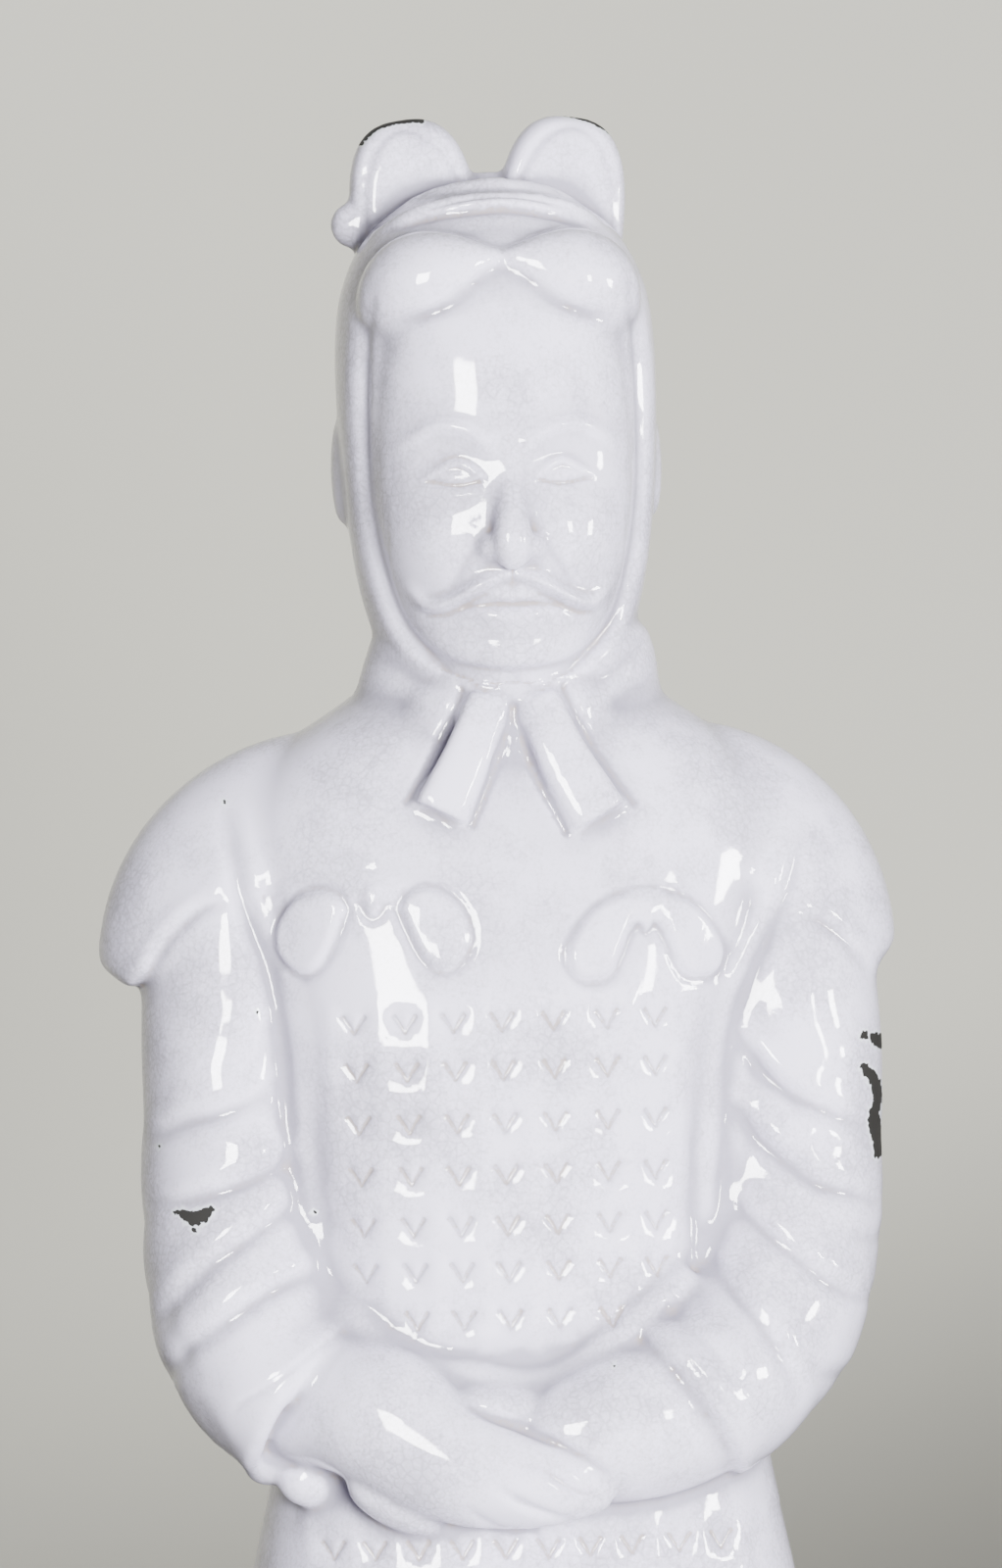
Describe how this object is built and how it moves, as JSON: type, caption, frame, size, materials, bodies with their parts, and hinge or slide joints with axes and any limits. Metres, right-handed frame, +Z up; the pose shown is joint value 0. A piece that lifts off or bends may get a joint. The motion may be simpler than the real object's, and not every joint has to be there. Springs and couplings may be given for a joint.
{
  "type": "soldier statue",
  "caption": "White glazed ceramic standing soldier in scale armour with clasped hands, a lobed cap and neck cloth, on a low rectangular plinth.",
  "frame": {"origin": "centre of the plinth's flat underside", "axes": "+Z up along the figure, -Y the way it faces, +X to the viewer's right"},
  "size_m": [0.1919, 0.1289, 0.6011],
  "materials": {
    "white_glaze": "glossy, cool white dipped glaze"
  },
  "bodies": {
    "root": {"soldier_statue": "white_glaze"}
  },
  "joints": []
}
